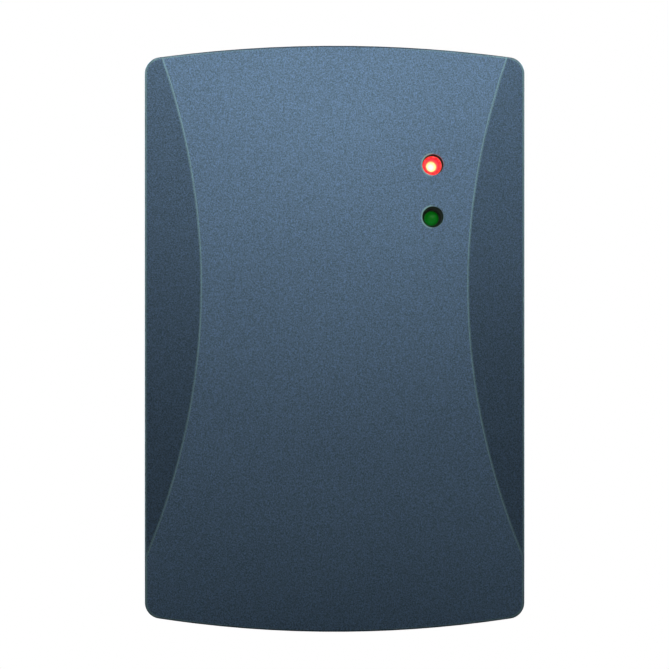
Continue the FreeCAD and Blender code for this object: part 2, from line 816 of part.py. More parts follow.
def build_wall_plate():
    plate = rounded_block("plate", "0", "$plate_thickness",
                          ("$plate_half_width", "$plate_low", "$plate_high", "$plate_corner"))
    rim = rounded_block(
        "plate_rim", "0", "$rim_front",
        ("$plate_half_width", "$plate_low", "$plate_high", "$plate_corner"),
        ("$plate_half_width - $rim_width", "$plate_low + $rim_width", "$plate_high - $rim_width",
         "$plate_corner - $rim_width"))
    mark = prism("up_mark", MARK_SIDES, "$mark_radius", "y", "-$mark_front", "-$plate_thickness / 2",
                 ("0", "$mark_z"))
    mark.Placement.Rotation = TURNS["y"] * Rotation(Vector(0, 0, 1), -RIGHT_ANGLE)
    solid = joined("plate_solid", plate, rim, mark, *hinge_tongues(), *lock_tab(),
                   *rods_back("spacer", "$spacer_radius", "$spacer_front", "0",
                              corners("$spacer_x", "$spacer_z", "-$spacer_z")))
    opening = rounded_block(
        "cable_opening", "-$margin", "$rim_front",
        ("$opening_half_width", "$opening_low", "$opening_high", "$opening_corner"))
    wall_slots = [tool for sign in SIDES for tool in slot_tools(
        "wall_slot", "$wall_slot_radius", "$wall_slot_run", "0", f"{sign} * $wall_slot_z", "z")]
    box_slots = [tool for sign in SIDES for tool in slot_tools(
        "box_slot", "$wall_slot_radius", "$box_slot_run", f"{sign} * $box_slot_x", "0", "x")]
    insert_hole = rod("insert_hole", "z", "$insert_radius", "$plate_low - $margin",
                      "$tab_high + $margin", ("0", "-$lock_back"))
    publish("wall_plate", cut("wall_plate", solid, opening, insert_hole, *wall_slots, *box_slots))


def build_lock():
    upright = Rotation(Vector(1, 0, 0), RIGHT_ANGLE)
    insert = turned("lock_insert", [
        ("$insert_bore", "$plate_low"), ("$insert_radius", "$plate_low"),
        ("$insert_radius", "$tab_high"), ("$insert_bore", "$tab_high")], upright)
    washer = turned("lock_washer", [
        ("$washer_bore", "$lock_head_high"), ("$washer_radius", "$lock_head_high"),
        ("$washer_radius", "$washer_high"), ("$washer_bore", "$washer_high")], upright)
    blank = turned("lock_blank", [
        ("0", "$lock_head_low"), ("$lock_head_radius - $edge_round", "$lock_head_low"),
        ("$lock_head_radius", "$lock_head_low + $edge_round"), ("$lock_head_radius", "$lock_head_high"),
        ("$lock_shank_radius", "$lock_head_high"), ("$lock_shank_radius", "$lock_shank_high - $edge_round"),
        ("$lock_shank_radius - $edge_round", "$lock_shank_high"), ("0", "$lock_shank_high")], upright)
    for body in (insert, washer, blank):
        bind(body, "Placement.Base.y", "-$lock_back")
    drive = prism("lock_drive", DRIVE_SIDES, "$lock_drive_radius", "z", "$lock_head_low - $margin",
                  "$lock_head_low + $lock_drive_depth", ("0", "-$lock_back"))
    pin = rod("lock_pin", "z", "$lock_pin_radius", "$lock_head_low - 2 * $margin",
              "$lock_head_low + $lock_drive_depth + $margin", ("0", "-$lock_back"))
    publish("lock_insert", insert)
    publish("lock_washer", washer)
    publish("lock_screw", cut("lock_screw", blank, cut("lock_drive_ring", drive, pin)))


# ---------------------------------------------------------------- back cover and what it carries

def build_back_cover():
    flange = outline_block("back_flange", "$pocket_front", "$flange_front",
                           ("$flange_inset", "$inner_corner", "$flange_floor"))
    step = outline_block("back_step", "$pocket_front", "$ledge_front",
                         ("$step_inset", "$inner_corner", "$step_floor"))
    reliefs = rods_back("head_relief", "$relief_radius", "$relief_front", "$pocket_front - $margin",
                        [("0", "$wall_slot_z"), ("0", "-$wall_slot_z"),
                         ("$box_slot_x", "0"), ("-$box_slot_x", "0")])
    holes = rods_back("screw_hole", "$cover_screw_hole_radius", "$ledge_front + $margin",
                      "$pocket_front - $margin", cover_screw_spots())
    sinks = [taper("countersink", "y", "$cover_screw_hole_radius",
                   "$cover_screw_head_radius + $margin",
                   "-$pocket_front - ($cover_screw_head_radius - $cover_screw_hole_radius)",
                   "-$pocket_front + $margin", spot) for spot in cover_screw_spots()]
    cable_hole = rod("cable_hole", "y", "$grommet_neck_radius", "-$ledge_front - $margin",
                     "-$pocket_front + $margin", ("0", "$cable_z"))
    publish("back_cover", cut("back_cover", joined("back_solid", flange, step), cable_hole,
                              *reliefs, *holes, *sinks))


def build_gasket():
    publish("cover_gasket", outline_block(
        "cover_gasket", "$flange_front", "$ledge_front",
        ("$gasket_outer_inset", "$inner_corner", "$gasket_outer_floor"),
        ("$gasket_inner_inset", "$inner_corner", "$gasket_inner_floor")))


def cross_recess(name, head_back, spot):
    """The cross-shaped driver recess of a screw whose head faces the wall."""
    x, z = spot
    span = (f"-({head_back}) - $cross_depth", f"-({head_back}) + $margin")
    arms = [("$cross_length", "$cross_half_width"), ("$cross_half_width", "$cross_length")]
    return [box(name, (f"{x} - {half_x}", f"{x} + {half_x}"), span,
                (f"{z} - {half_z}", f"{z} + {half_z}")) for half_x, half_z in arms]


def self_tapping_screw(name, profile, head_back, spot):
    blank = turned(f"{name}_blank", profile)
    for letter, place in zip("xz", spot):
        bind(blank, f"Placement.Base.{letter}", place)
    return cut(name, blank, *cross_recess(f"{name}_cross", head_back, spot))


def build_cover_screws():
    profile = [
        ("0", "-$pocket_front"), ("$cover_screw_head_radius", "-$pocket_front"),
        ("$cover_screw_radius", "-$pocket_front - ($cover_screw_head_radius - $cover_screw_radius)"),
        ("$cover_screw_radius", "-$cover_screw_front"), ("0", "-$cover_screw_tip_front")]
    publish("cover_screws", group("cover_screws", [
        self_tapping_screw("cover_screw", profile, "$pocket_front", spot)
        for spot in cover_screw_spots()]))


def build_board_screws():
    profile = [
        ("0", "-$board_screw_back"), ("$board_screw_head_radius", "-$board_screw_back"),
        ("$board_screw_head_radius", "-$board_back"), ("$board_screw_radius", "-$board_back"),
        ("$board_screw_radius", "-$board_screw_front"), ("0", "-$board_screw_front")]
    publish("board_screws", group("board_screws", [
        self_tapping_screw("board_screw", profile, "$board_screw_back", spot)
        for spot in board_screw_spots()]))


def build_grommet():
    grommet = turned("cable_grommet", [
        ("$grommet_bore", "-$grommet_front"), ("$grommet_flange_radius", "-$grommet_front"),
        ("$grommet_flange_radius", "-$ledge_front"), ("$grommet_neck_radius", "-$ledge_front"),
        ("$grommet_neck_radius", "-$pocket_front"), ("$grommet_flange_radius", "-$pocket_front"),
        ("$grommet_flange_radius", "-$grommet_flange_back"),
        ("$grommet_sleeve_root", "-$grommet_flange_back"),
        ("$grommet_sleeve_end", "-$grommet_back"), ("$grommet_bore", "-$grommet_back")])
    bind(grommet, "Placement.Base.z", "$cable_z")
    publish("cable_grommet", grommet)


def build_label():
    publish("rating_label", box("rating_label", ("-$label_half_width", "$label_half_width"),
                                ("-$pocket_front", "-$label_back"), ("$label_low", "$label_high")))


# ---------------------------------------------------------------- circuit board

def header_spots():
    return [(f"$header_first_x + {way} * $header_pitch", "$header_z") for way in range(HEADER_WAYS)]


def coil_pin_spots():
    return corners("$coil_pin_x", "$coil_pin_z")


def buzzer_lead_spots():
    return [(f"$buzzer_x + {side} * $buzzer_lead_pitch", "$buzzer_z") for side in SIDES]


def crystal_lead_spots():
    return [("$crystal_x", f"$crystal_z + {side} * $crystal_lead_pitch") for side in SIDES]


def lens_spots():
    """Each lamp stands a little to one side of its hole."""
    return [("$light_x + $red_shift_x", "$red_z + $red_shift_z"),
            ("$light_x + $green_shift_x", "$green_z + $green_shift_z")]


def light_lead_spots():
    return [(f"{x} + {side} * $light_lead_pitch", z) for x, z in lens_spots() for side in SIDES]


def leads(name, front, spots):
    """Wire leads that end `front` off the wall and stand proud behind the board."""
    return group(name, rods_back(f"{name}_wire", "$lead_radius", front, "$lead_back", spots))


def build_board():
    blank = rounded_block("board_blank", "$board_back", "$board_front",
                          ("$board_half_width", "$board_low", "$board_high", "$board_corner"))
    front, back = "$board_front + $margin", "$board_back - $margin"
    lead_spots = [*header_spots(), *coil_pin_spots(), *buzzer_lead_spots(), *crystal_lead_spots(),
                  *light_lead_spots()]
    publish("circuit_board", cut(
        "circuit_board", blank,
        rod("board_cable_hole", "y", "$board_cable_radius", f"-({front})", f"-({back})",
            ("0", "$cable_z")),
        *rods_back("board_hole", "$board_hole_radius", front, back, board_screw_spots()),
        *rods_back("lead_hole", "$lead_hole_radius", front, back, lead_spots)))


def coil_ring(name, back, front, outer_inset, inner_inset):
    """A frame that follows the coil, between two insets from the former's outer edge."""
    return rounded_block(name, back, front, *[
        (f"$coil_half_width - ({inset})", f"$coil_low + ({inset})", f"$coil_high - ({inset})",
         f"$coil_corner - ({inset})") for inset in (outer_inset, inner_inset)])


def build_coil():
    spool = coil_ring("former_block", "$board_front", "$former_front", "0", "$former_width")
    groove = coil_ring("former_groove", "$winding_back", "$winding_front", "-$margin",
                       "$former_width - $former_web")
    publish("coil_former", cut("coil_former", spool, groove))
    publish("antenna_coil", coil_ring("antenna_coil", "$winding_back", "$winding_front",
                                      "$winding_inset", "$former_width - $former_web"))
    publish("coil_pins", leads("coil_pins", "$board_front", coil_pin_spots()))


def build_lights():
    """Two small round lamps on nylon spacers."""
    for node, spot in zip(("red_led", "green_led"), lens_spots()):
        dome = doc.addObject("Part::Sphere", f"{node}_dome")
        bind(dome, "Radius", "$lens_radius")
        for letter, place in zip("xyz", (spot[0], "-$lens_dome_front", spot[1])):
            bind(dome, f"Placement.Base.{letter}", place)
        publish(node, joined(
            node, dome,
            rod(f"{node}_lens", "y", "$lens_radius", "-$lens_dome_front", "-$lens_back", spot),
            rod(f"{node}_flange", "y", "$lens_flange_radius", "-$lens_flange_front", "-$lens_back",
                spot)))
    publish("led_leads", leads("led_leads", "$lens_back", light_lead_spots()))
    spacers = [rod("spacer_disc", "y", "$lens_flange_radius", "-$lens_back", "-$board_front", spot)
               for spot in lens_spots()]
    holes = rods_back("spacer_hole", "$lead_hole_radius", "$lens_back + $margin",
                      "$board_front - $margin", light_lead_spots())
    publish("led_spacers", cut("led_spacers", group("spacer_discs", spacers), *holes))


def build_buzzer():
    spot = ("$buzzer_x", "$buzzer_z")
    case = rod("buzzer_case", "y", "$buzzer_radius", "-$buzzer_front", "-$board_front", spot)
    port = rod("buzzer_port", "y", "$buzzer_port_radius", "-$buzzer_front - $margin",
               "-$buzzer_front + $buzzer_port_depth", spot)
    publish("buzzer", cut("buzzer", case, port))
    publish("buzzer_leads", leads("buzzer_leads", "$board_front", buzzer_lead_spots()))


def on_board(name, x, z, length, width, rise, standoff="0"):
    """A block that stands on the front of the board, centred at x and z."""
    return box(name, (f"{x} - {length} / 2", f"{x} + {length} / 2"),
               (f"-$board_front - {rise}", f"-$board_front - {standoff}"),
               (f"{z} - {width} / 2", f"{z} + {width} / 2"))


def gull_leads(name, x, z, width, rise, count):
    """Bent leads along the two long sides of a chip: each has a shank and a foot."""
    pieces = []
    for side in SIDES:
        edge = f"({z} + {side} * {width} / 2)"
        tip = f"({edge} + {side} * $chip_lead_reach)"
        knee = f"({edge} + {side} * $chip_lead_reach / 2)"
        for number in range(count):
            middle = f"({x} + ({number} - {count - 1} / 2) * $chip_lead_pitch)"
            across = (f"{middle} - $chip_lead_width / 2", f"{middle} + $chip_lead_width / 2")
            foot_face = "-$board_front - $chip_lead_thickness"
            shoulder = f"-$board_front - {rise} / 2"
            low, high = (edge, knee) if side > 0 else (knee, edge)
            arm = box(name, across, (f"{shoulder} - $chip_lead_thickness", shoulder), (low, high))
            near = f"({knee} - {side} * $chip_lead_thickness)"
            low, high = (near, knee) if side > 0 else (knee, near)
            shank = box(name, across, (f"{shoulder} - $chip_lead_thickness", "-$board_front"),
                        (low, high))
            low, high = (near, tip) if side > 0 else (tip, near)
            foot = box(name, across, (foot_face, "-$board_front"), (low, high))
            pieces.append(joined(name, arm, shank, foot))
    return pieces


def build_chips():
    for node, stem, count in (("controller_chip", "controller", CONTROLLER_LEADS_PER_SIDE),
                              ("interface_chip", "interface", INTERFACE_LEADS_PER_SIDE)):
        x, z, length, width, rise = (
            f"${stem}_{name}" for name in ("x", "z", "length", "width", "rise"))
        publish(node, on_board(node, x, z, length, width, rise, "$chip_standoff"))
        lead_name = f"{stem}_leads"
        publish(lead_name, group(lead_name, gull_leads(f"{stem}_lead", x, z, width, rise, count)))
    publish("driver_transistors", group("driver_transistors", [
        on_board("transistor", f"($transistor_x + {number} * $transistor_pitch)", "$transistor_z",
                 "$transistor_length", "$transistor_width", "$transistor_rise")
        for number in range(TRANSISTORS)]))


def build_crystal():
    """An oval can: a block with a half round at each end."""
    x, z = "$crystal_x", "$crystal_z"
    straight = "($crystal_half_length - $crystal_half_width)"
    front = "-$board_front - $crystal_rise"
    ends = [rod("crystal_end", "y", "$crystal_half_width", front, "-$board_front",
                (x, f"{z} + {side} * {straight}")) for side in SIDES]
    middle = box("crystal_middle", (f"{x} - $crystal_half_width", f"{x} + $crystal_half_width"),
                 (front, "-$board_front"), (f"{z} - {straight}", f"{z} + {straight}"))
    publish("crystal", joined("crystal", middle, *ends))
    publish("crystal_leads", leads("crystal_leads", "$board_front", crystal_lead_spots()))


def build_power_parts():
    x, z = "$regulator_x", "$regulator_z"
    body = on_board("regulator_body", x, z, "$regulator_length", "$regulator_width",
                    "$regulator_rise")
    tab_z = f"({z} + ($regulator_width + $regulator_tab_width) / 2)"
    tab = on_board("regulator_tab", x, tab_z, "$regulator_tab_length", "$regulator_tab_width",
                   "$regulator_tab_thickness")
    publish("voltage_regulator", joined("voltage_regulator", body, tab))
    publish("protection_diode", on_board(
        "protection_diode", "$power_x", "$diode_z", "$diode_length", "$diode_width", "$diode_rise"))
    publish("resettable_fuse", on_board(
        "resettable_fuse", "$power_x", "$fuse_z", "$fuse_length", "$fuse_width", "$fuse_rise"))
    cans = []
    for number in range(STORAGE_CAPACITORS):
        z = f"($storage_z - {number} * $storage_pitch)"
        base = on_board("storage_base", "$storage_x", z, "$storage_base", "$storage_base",
                        "$storage_base_rise")
        can = rod("storage_can", "y", "$storage_radius", "-$board_front - $storage_rise",
                  "-$board_front", ("$storage_x", z))
        cans.append(joined("storage_capacitor", base, can))
    publish("storage_capacitors", group("storage_capacitors", cans))


def build_trimmer():
    z = "$trimmer_z"
    frame = on_board("trimmer_frame", "0", z, "$trimmer_length", "$trimmer_width", "$trimmer_rise")
    rotor = rod("trimmer_rotor", "y", "$trimmer_rotor_radius", "-$board_front - $trimmer_rotor_rise",
                "-$board_front", ("0", z))
    slot = box("trimmer_slot", ("-$trimmer_rotor_radius", "$trimmer_rotor_radius"),
               ("-$board_front - $trimmer_rotor_rise - $margin",
                "-$board_front - $trimmer_rotor_rise + $trimmer_slot_depth"),
               (f"{z} - $trimmer_slot_width / 2", f"{z} + $trimmer_slot_width / 2"))
    publish("tuning_capacitor", cut("tuning_capacitor", joined("trimmer_solid", frame, rotor), slot))


def build_chip_rows():
    """Rows of small resistors and capacitors."""
    for node, stem, count in (("chip_resistors", "resistor", RESISTORS),
                              ("chip_capacitors", "capacitor", CAPACITORS)):
        publish(node, group(node, [
            on_board(stem, f"(${stem}_x + {number} * ${stem}_pitch)", f"${stem}_z",
                     "$chip_part_length", "$chip_part_width", f"${stem}_rise")
            for number in range(count)]))


def build_header():
    """The wire connector: a port in its upper side and a release slot in its front for each wire."""
    front = "-$board_front - $header_rise"
    block = box("header_block", ("-$header_half_length", "$header_half_length"),
                (front, "-$board_front"),
                ("$header_z - $header_half_width", "$header_z + $header_half_width"))
    tools = []
    for x, z in header_spots():
        middle = "-$board_front - $header_port_rise"
        tools.append(box("wire_port", (f"{x} - $header_port_half", f"{x} + $header_port_half"),
                         (f"{middle} - $header_port_half", f"{middle} + $header_port_half"),
                         (f"{z} + $header_half_width - $header_port_depth",
                          f"{z} + $header_half_width + $margin")))
        tools.append(box("release_slot", (f"{x} - $header_key_half", f"{x} + $header_key_half"),
                         (f"{front} - $margin", f"{front} + $header_port_half"),
                         (f"{z} - $header_port_half", f"{z} + $header_port_half")))
    publish("wire_header", cut("wire_header", block, *tools))
    publish("header_pins", leads("header_pins", "$board_front", header_spots()))


# ---------------------------------------------------------------- build, check and write

for build in (build_front_cover, build_wall_plate, build_lock, build_back_cover, build_gasket,
              build_cover_screws, build_board_screws, build_grommet, build_label, build_board,
              build_coil, build_lights, build_buzzer, build_chips, build_crystal,
              build_power_parts, build_trimmer, build_chip_rows, build_header):
    build()
doc.recompute()

for item in doc.Objects:
    if {"Invalid", "Error"} & set(item.State):
        raise RuntimeError(f"{item.Name} failed: {item.State}")
for item in subparts:
    if item.Shape.isNull() or not item.Shape.isValid() or not item.Shape.Solids:
        raise RuntimeError(f"{item.Label} has no valid solid")

os.makedirs("parts", exist_ok=True)
for item in subparts:
    item.Shape.exportStep(f"parts/{item.Label}.step")
    print(f"{item.Label}: {len(item.Shape.Solids)} solid(s), {item.Shape.Volume:.1f} mm3")
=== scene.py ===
import json
import math

import bpy
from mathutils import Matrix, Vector


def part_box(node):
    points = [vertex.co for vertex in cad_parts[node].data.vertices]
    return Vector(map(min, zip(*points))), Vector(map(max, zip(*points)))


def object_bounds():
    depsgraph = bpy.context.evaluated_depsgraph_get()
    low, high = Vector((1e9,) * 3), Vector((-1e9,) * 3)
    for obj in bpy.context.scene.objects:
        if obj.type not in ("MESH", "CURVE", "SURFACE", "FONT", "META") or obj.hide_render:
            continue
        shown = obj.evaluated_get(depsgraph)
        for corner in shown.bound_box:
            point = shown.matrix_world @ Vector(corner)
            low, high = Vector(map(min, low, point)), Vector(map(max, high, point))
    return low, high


# A wall-mounted card reader: a crowned face between two sloping cheeks, with two recessed lamps.
# X runs to the right, Y into the wall and Z up, in metres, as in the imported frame.

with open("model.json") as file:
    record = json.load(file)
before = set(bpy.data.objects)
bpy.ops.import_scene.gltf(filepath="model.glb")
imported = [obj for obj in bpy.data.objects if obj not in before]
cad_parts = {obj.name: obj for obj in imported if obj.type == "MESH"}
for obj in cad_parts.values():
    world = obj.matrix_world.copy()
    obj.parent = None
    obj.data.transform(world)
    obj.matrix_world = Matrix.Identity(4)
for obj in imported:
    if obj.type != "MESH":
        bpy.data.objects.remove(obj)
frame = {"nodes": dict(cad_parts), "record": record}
nodes = frame["nodes"]
cad_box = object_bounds()

MM = 0.001
SIDES = (-1, 1)
WHITE = (1.0, 1.0, 1.0)

low_corner, high_corner = (Vector(corner) for corner in cad_box)
middle = (low_corner + high_corner) / 2
size = high_corner - low_corner
front = low_corner.y
top_edge = Vector((middle.x, front, high_corner.z))


# ---------------------------------------------------------------- node helpers

def new_material(name):
    """An empty node material with its shader and output; returns (material, tree, shader)."""
    material = bpy.data.materials.new(f"{name}_finish")
    material.use_nodes = True
    tree = material.node_tree
    tree.nodes.clear()
    output = tree.nodes.new("ShaderNodeOutputMaterial")
    shader = tree.nodes.new("ShaderNodeBsdfPrincipled")
    tree.links.new(shader.outputs["BSDF"], output.inputs["Surface"])
    return material, tree, shader


def feed(tree, socket, source):
    """Link a socket from another socket, or set it to a constant."""
    if isinstance(source, bpy.types.NodeSocket):
        tree.links.new(source, socket)
    elif isinstance(source, tuple) and len(source) == 3 and socket.type == "RGBA":
        socket.default_value = (*source, 1.0)
    else:
        socket.default_value = source


def position(tree):
    """The point's place in the row frame, carried with its body."""
    return tree.nodes.new("ShaderNodeTexCoord").outputs["Object"]


def stretched(tree, place, scale):
    """A place scaled by its own factor on each axis."""
    mapping = tree.nodes.new("ShaderNodeMapping")
    feed(tree, mapping.inputs["Vector"], place)
    mapping.inputs["Scale"].default_value = scale
    return mapping.outputs["Vector"]


def skewed(tree, place, turn=(0.7, 0.5, 0.9)):
    """A place turned off the axes, so that no flat face lies along the texture's own grid."""
    mapping = tree.nodes.new("ShaderNodeMapping")
    feed(tree, mapping.inputs["Vector"], place)
    mapping.inputs["Rotation"].default_value = turn
    return mapping.outputs["Vector"]


def noise(tree, place, size, detail=2.0):
    """Noise from 0 to 1 whose features measure about size."""
    node = tree.nodes.new("ShaderNodeTexNoise")
    feed(tree, node.inputs["Vector"], place)
    node.inputs["Scale"].default_value = 1 / size
    node.inputs["Detail"].default_value = detail
    return node.outputs["Fac"]


def cells(tree, place, size, feature="F1"):
    """Distance to scattered points that lie about size apart, in units of size."""
    node = tree.nodes.new("ShaderNodeTexVoronoi")
    node.feature = feature
    feed(tree, node.inputs["Vector"], place)
    node.inputs["Scale"].default_value = 1 / size
    return node.outputs["Distance"]


def bands(tree, place, axis, pitch):
    """Waves from 0 to 1 along an axis, one to each pitch."""
    node = tree.nodes.new("ShaderNodeTexWave")
    node.bands_direction = axis
    feed(tree, node.inputs["Vector"], place)
    node.inputs["Scale"].default_value = 0.5 / pitch
    return node.outputs["Fac"]


def ramp(tree, source, low, high, start=0.0, end=1.0):
    """Spread low..high of a value over start..end, held outside it."""
    node = tree.nodes.new("ShaderNodeMapRange")
    feed(tree, node.inputs["Value"], source)
    node.inputs["From Min"].default_value = low
    node.inputs["From Max"].default_value = high
    node.inputs["To Min"].default_value = start
    node.inputs["To Max"].default_value = end
    return node.outputs["Result"]


def spread(tree, source, start=0.0, end=1.0):
    """Spread the usual range of a noise over start..end."""
    return ramp(tree, source, 0.3, 0.7, start, end)


def combine(tree, operation, first, second):
    """One arithmetic step between two values."""
    node = tree.nodes.new("ShaderNodeMath")
    node.operation = operation
    feed(tree, node.inputs[0], first)
    feed(tree, node.inputs[1], second)
    return node.outputs["Value"]


def blend(tree, share, first, second):
    """Mix two colours; share 0 gives the first."""
    node = tree.nodes.new("ShaderNodeMix")
    node.data_type = "RGBA"
    feed(tree, node.inputs["Factor"], share)
    feed(tree, node.inputs["A"], first)
    feed(tree, node.inputs["B"], second)
    return node.outputs["Result"]


def bump(tree, height, depth, below=None):
    """A relief of that depth in metres, over another relief if one is given."""
    node = tree.nodes.new("ShaderNodeBump")
    node.inputs["Distance"].default_value = depth
    feed(tree, node.inputs["Height"], height)
    if below is not None:
        feed(tree, node.inputs["Normal"], below)
    return node.outputs["Normal"]


def vector_step(tree, operation, first, second):
    """One step between two vectors; returns the node."""
    node = tree.nodes.new("ShaderNodeVectorMath")
    node.operation = operation
    feed(tree, node.inputs[0], first)
    feed(tree, node.inputs[1], second)
    return node


def along_x(tree, vector):
    node = tree.nodes.new("ShaderNodeSeparateXYZ")
    feed(tree, node.inputs["Vector"], vector)
    return node.outputs["X"]


def surface_normals(tree, radius):
    """The normal averaged over a radius, and the plain one; they differ only beside an edge."""
    bevel = tree.nodes.new("ShaderNodeBevel")
    bevel.samples = 8
    bevel.inputs["Radius"].default_value = radius
    plain = tree.nodes.new("ShaderNodeNewGeometry").outputs["Normal"]
    return bevel.outputs["Normal"], plain


def worn_and_highlit_edges(tree, radius=0.35 * MM):
    """A mask that is 1 on convex and concave edges and 0 on flat faces."""
    node = vector_step(tree, "DOT_PRODUCT", *surface_normals(tree, radius))
    return ramp(tree, node.outputs["Value"], 0.98, 0.75)


def outward_turn(tree, place, radius=0.45 * MM):
    """A mask that is 1 beside an edge past which the surface turns towards the reader's sides; it places
    the painted highlight along the ridges.
    """
    lean = vector_step(tree, "SUBTRACT", *surface_normals(tree, radius)).outputs["Vector"]
    side = combine(tree, "SIGN", along_x(tree, place), 0.0)
    return ramp(tree, combine(tree, "MULTIPLY", along_x(tree, lean), side), 0.002, 0.02)


def distance_from(tree, place, centre):
    """How far a point lies from a centre, in metres."""
    return vector_step(tree, "DISTANCE", place, centre).outputs["Value"]


def brightened(color, factor):
    return tuple(min(1.0, channel * factor) for channel in color)


# ---------------------------------------------------------------- materials

def moulded(name, color, roughness, grain=0.25 * MM, depth=0.02 * MM, metallic=0.0, sparkle=0.12,
            wear_and_highlight=0.35, clouding=0.05, ridge_painted_highlight=0.0):
    """Moulded plastic: grained skin, slightly uneven colour and gloss, and edges rubbed paler, which
    also serves as a painted highlight along them; optionally a painted highlight along the ridges as
    well.
    """
    material, tree, shader = new_material(name)
    place = skewed(tree, position(tree))
    grains = noise(tree, place, grain, detail=1.0)
    clouds = noise(tree, place, 14 * MM, detail=3.0)
    dark, pale = (brightened(color, 1 + side * sparkle) for side in SIDES)
    speckled = blend(tree, spread(tree, grains), dark, pale)
    body = blend(tree, spread(tree, clouds, 0.0, clouding), speckled, brightened(color, 0.5))
    # Edges rubbed paler: partly wear, partly a painted highlight along the edges.
    edge = combine(tree, "MULTIPLY", worn_and_highlit_edges(tree), wear_and_highlight)
    # Painted highlight: a paler line along the ridges where the face turns towards the cheeks.
    if ridge_painted_highlight:
        painted_highlight = combine(tree, "MULTIPLY", outward_turn(tree, position(tree)), ridge_painted_highlight)
        edge = combine(tree, "MAXIMUM", edge, painted_highlight)
    feed(tree, shader.inputs["Base Color"], blend(tree, edge, body, brightened(color, 2.0)))
    gloss = spread(tree, clouds, roughness - clouding, roughness + clouding)
    feed(tree, shader.inputs["Roughness"], gloss)
    feed(tree, shader.inputs["Metallic"], metallic)
    feed(tree, shader.inputs["Normal"], bump(tree, grains, depth))
    return material


def rubber(name, color, dust=(0.16, 0.15, 0.14)):
    """Soft rubber: dull, dusty in patches, with a fine open grain."""
    material, tree, shader = new_material(name)
    place = position(tree)
    pores = cells(tree, place, 0.35 * MM)
    patches = noise(tree, place, 4 * MM, detail=4.0)
    dusty = blend(tree, ramp(tree, patches, 0.45, 0.8, 0.0, 0.4), color, dust)
    feed(tree, shader.inputs["Base Color"], dusty)
    feed(tree, shader.inputs["Roughness"], spread(tree, patches, 0.7, 0.88))
    feed(tree, shader.inputs["Specular IOR Level"], 0.35)
    feed(tree, shader.inputs["Normal"], bump(tree, pores, 0.03 * MM))
    return material


def metal(name, color, roughness, tarnish, grain=(1.0, 1.0, 1.0)):
    """Metal with tool marks stretched by grain, uneven gloss and a film of tarnish."""
    material, tree, shader = new_material(name)
    place = position(tree)
    marks = noise(tree, stretched(tree, place, grain), 0.12 * MM)
    film = noise(tree, place, 1.6 * MM, detail=4.0)
    tinted = blend(tree, ramp(tree, film, 0.45, 0.75, 0.0, 0.7), color, tarnish)
    scored = blend(tree, spread(tree, marks, 0.0, 0.3), tinted, brightened(color, 1.3))
    feed(tree, shader.inputs["Base Color"], scored)
    feed(tree, shader.inputs["Metallic"], 1.0)
    feed(tree, shader.inputs["Roughness"], spread(tree, film, roughness - 0.06, roughness + 0.1))
    feed(tree, shader.inputs["Normal"], bump(tree, marks, 0.004 * MM))
    return material


def label_film(name):
    """Blank silver polyester film: faint orange-peel and a slight satin streak."""
    material, tree, shader = new_material(name)
    place = position(tree)
    streaks = noise(tree, stretched(tree, place, (0.2, 1.0, 1.0)), 0.3 * MM)
    peel = noise(tree, place, 1.2 * MM, detail=3.0)
    satin = blend(tree, streaks, (0.56, 0.57, 0.58), (0.68, 0.69, 0.70))
    feed(tree, shader.inputs["Base Color"], satin)
    feed(tree, shader.inputs["Metallic"], 0.4)
    feed(tree, shader.inputs["Roughness"], spread(tree, peel, 0.32, 0.44))
    feed(tree, shader.inputs["Normal"], bump(tree, peel, 0.01 * MM))
    return material


def board_laminate(name):
    """Green solder mask over glass cloth, with copper tracks that show through as paler green."""
    material, tree, shader = new_material(name)
    place = position(tree)
    weave = 0.4 * MM
    cloth = combine(tree, "MULTIPLY", bands(tree, place, "X", weave), bands(tree, place, "Z", weave))
    routes = stretched(tree, place, (1.0, 0.0, 0.45))
    copper = ramp(tree, cells(tree, routes, 3.2 * MM, "DISTANCE_TO_EDGE"), 0.10, 0.13, 1.0, 0.0)
    mask = blend(tree, ramp(tree, cloth, 0.0, 1.0, 0.0, 0.35), (0.012, 0.11, 0.04), (0.03, 0.19, 0.075))
    feed(tree, shader.inputs["Base Color"], blend(tree, copper, mask, (0.06, 0.30, 0.12)))
    feed(tree, shader.inputs["Roughness"], ramp(tree, cloth, 0.0, 1.0, 0.28, 0.4))
    relief = bump(tree, copper, 0.02 * MM, bump(tree, cloth, 0.01 * MM))
    feed(tree, shader.inputs["Normal"], relief)
    return material


def enamelled_copper(name):
    """Copper wire under enamel: each turn is a rounded ridge around the coil, with painted shade
    darkening the gaps between turns.
    """
    material, tree, shader = new_material(name)
    place = position(tree)
    turns = bands(tree, place, "Y", 0.22 * MM)
    film = noise(tree, place, 2.5 * MM, detail=3.0)
    bright = blend(tree, spread(tree, film), (0.50, 0.16, 0.055), (0.66, 0.25, 0.09))
    # Painted shade: the gaps between turns darkened where shade falls between the wires.
    painted_gap_shade = ramp(tree, turns, 0.0, 0.5, 0.7, 0.0)
    feed(tree, shader.inputs["Base Color"], blend(tree, painted_gap_shade, bright, (0.10, 0.03, 0.012)))
    feed(tree, shader.inputs["Metallic"], 0.85)
    feed(tree, shader.inputs["Roughness"], spread(tree, film, 0.24, 0.36))
    feed(tree, shader.inputs["Coat Weight"], 0.6)
    feed(tree, shader.inputs["Normal"], bump(tree, turns, 0.08 * MM))
    return material


